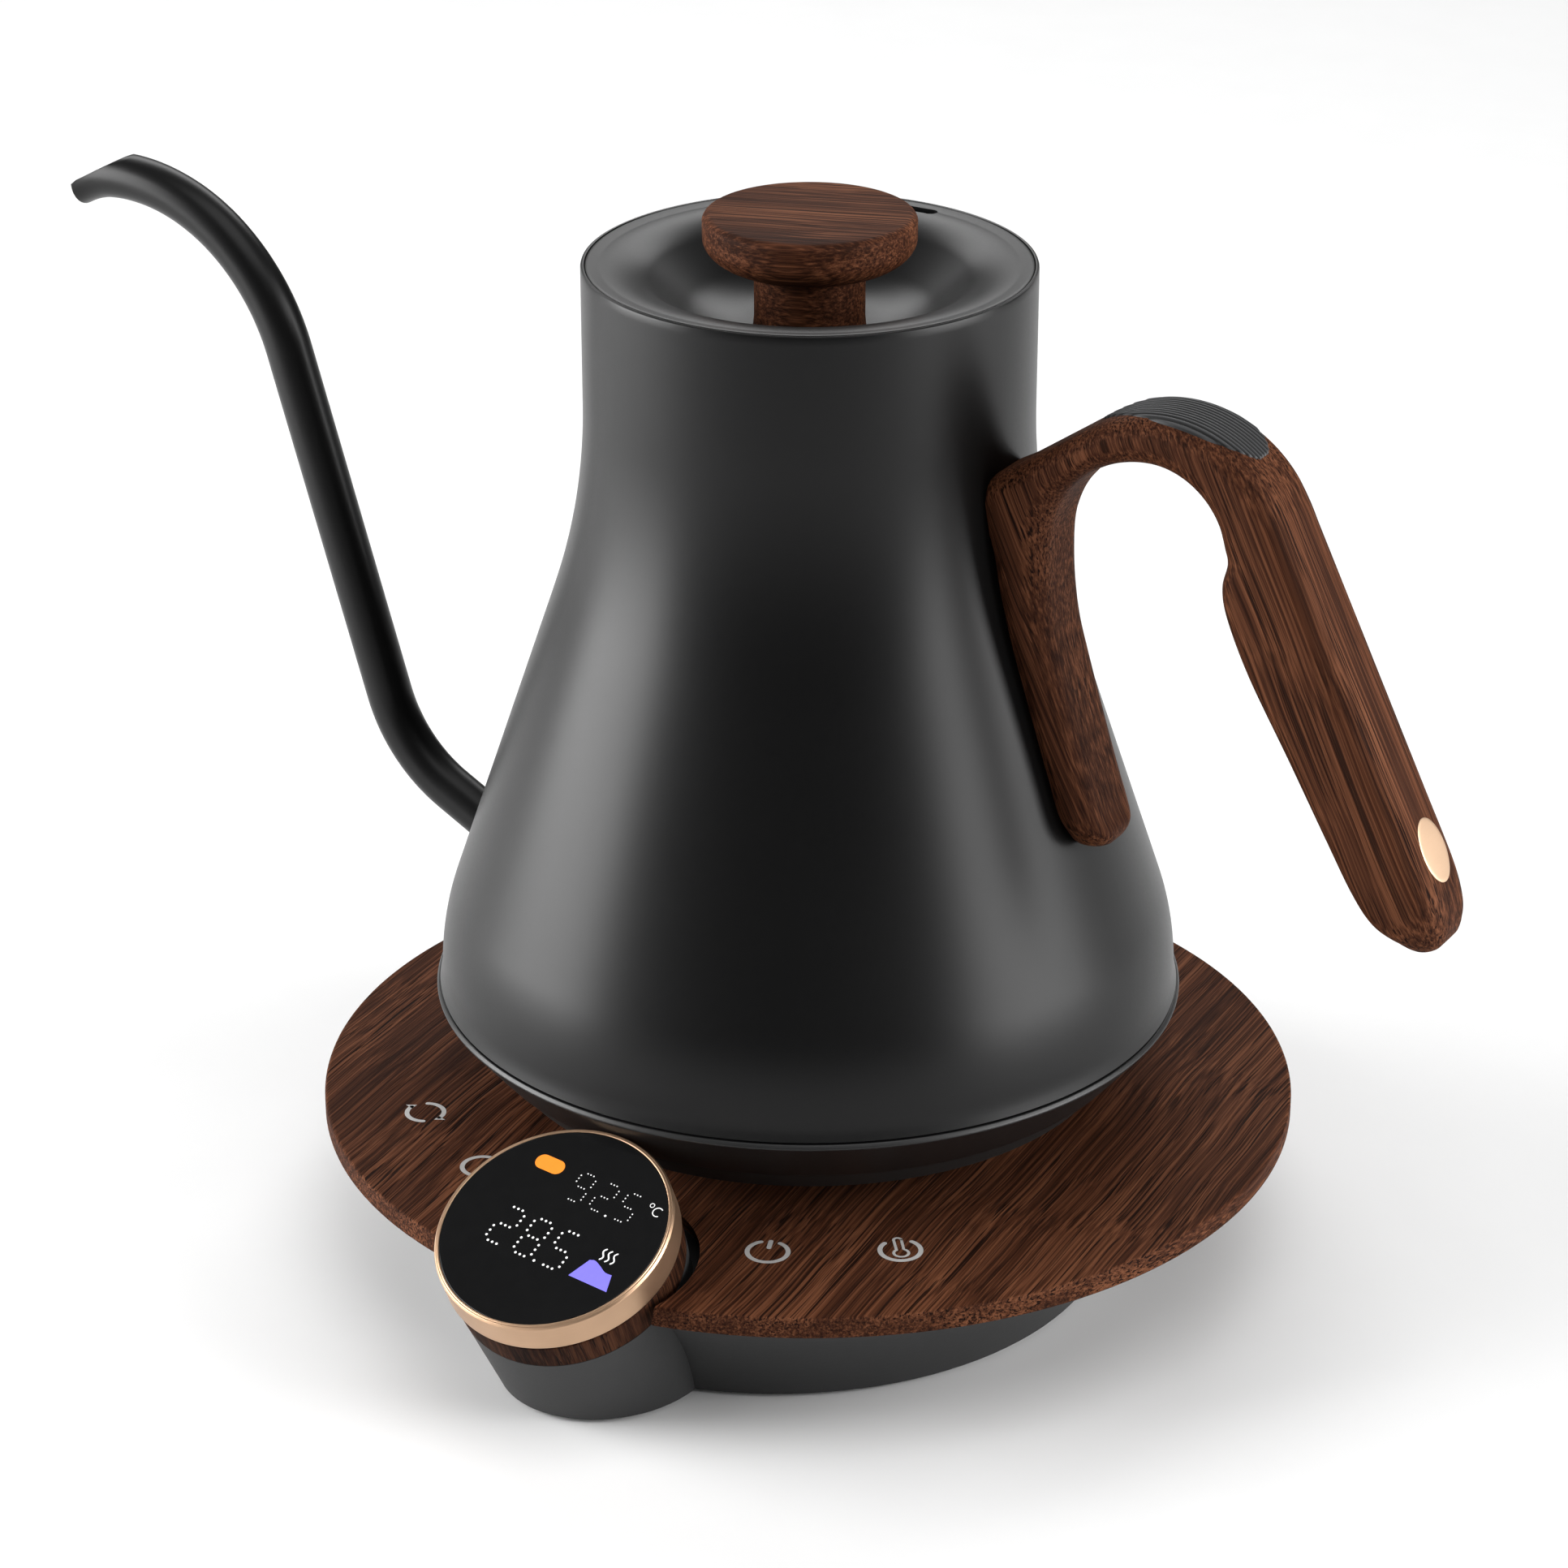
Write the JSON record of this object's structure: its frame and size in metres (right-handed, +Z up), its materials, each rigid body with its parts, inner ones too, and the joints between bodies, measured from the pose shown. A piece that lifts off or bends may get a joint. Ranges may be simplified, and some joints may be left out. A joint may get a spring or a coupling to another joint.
{
  "type": "gooseneck electric kettle",
  "caption": "Gooseneck pour-over kettle with a wooden open handle and lid knob, standing on a round wooden touch base with a tilted display dial.",
  "frame": {"origin": "on the table plane, on the axis of the kettle and of the round base plate", "axes": "+Z up along the kettle's axis, -X towards the spout, +X towards the handle, -Y towards the dial"},
  "size_m": [0.3188, 0.2149, 0.215],
  "materials": {
    "powder_coat": "fine matte black powder coat on stainless steel",
    "walnut": "oiled dark walnut, open grain",
    "rose_gold": "satin champagne gold plating",
    "display_glass": "black display glass with white, orange and violet segments",
    "icon_print": "printed light grey symbols",
    "base_plastic": "fine textured matte charcoal",
    "skirt_plastic": "satin charcoal",
    "black_plastic": "matte black",
    "white_plastic": "moulded off-white",
    "component_plastic": "moulded component case",
    "circuit_board": "green solder mask",
    "silicone": "matte black silicone, fine ribs on the thumb pad",
    "clear_silicone": "translucent silicone",
    "stainless": "brushed stainless steel",
    "screw_steel": "zinc plated",
    "cast_aluminium": "as cast",
    "contact_brass": "plated contact brass"
  },
  "bodies": {
    "base": {"feet": "silicone", "base_bottom_cover": "base_plastic", "base_screws": "screw_steel", "base_housing": "base_plastic", "base_plate": "walnut", "touch_icons": "icon_print", "touch_boards": "circuit_board", "touch_springs": "contact_brass", "base_connector": "black_plastic", "base_contacts": "contact_brass", "cord_inlet": "silicone", "control_board": "circuit_board", "relay": "component_plastic", "transformer": "component_plastic", "capacitor": "component_plastic", "buzzer": "black_plastic", "terminal_block": "white_plastic", "encoder_board": "circuit_board", "dial_switch": "screw_steel", "dial_wood_ring": "walnut"},
    "dial_head": {"dial_glass": "display_glass", "display_module": "circuit_board", "dial_carrier": "black_plastic", "switch_plunger": "white_plastic"},
    "dial_knob": {"dial_ring": "rose_gold", "encoder_wheel": "white_plastic"},
    "kettle": {"kettle_body": "powder_coat", "neck_ring": "stainless", "kettle_skirt": "skirt_plastic", "kettle_bottom": "black_plastic", "bottom_screws": "screw_steel", "kettle_socket": "black_plastic", "kettle_contacts": "contact_brass", "boil_plate": "stainless", "heat_plate": "cast_aluminium", "heating_element": "cast_aluminium", "thermal_cutouts": "white_plastic", "temperature_probe": "stainless", "spout": "powder_coat", "handle_grip": "walnut", "handle_bracket": "stainless", "handle_screw": "screw_steel", "thumb_pad": "silicone", "handle_badge": "rose_gold"},
    "lid": {"lid_shell": "powder_coat", "lid_inner": "stainless", "lid_gasket": "clear_silicone", "lid_knob": "walnut", "knob_screw": "screw_steel"}
  },
  "joints": [
    {"name": "dial_press", "type": "slide", "parent": "base", "child": "dial_head", "axis": [0, 0.4352, -0.9003], "range_m": [0, 0.0005], "stiffness_N_per_m": 1500, "springref_m": -0.0015},
    {"name": "dial_turn", "type": "hinge", "parent": "dial_head", "child": "dial_knob", "pos_m": [0, -0.0943, 0.0396], "axis": [0, -0.4352, 0.9003], "continuous": true},
    {"name": "kettle_lift", "type": "slide", "parent": "base", "child": "kettle", "axis": [0, 0, 1], "range_m": [0, 0.07]},
    {"name": "lid_lift", "type": "slide", "parent": "kettle", "child": "lid", "axis": [0, 0, 1], "range_m": [0, 0.05]}
  ]
}
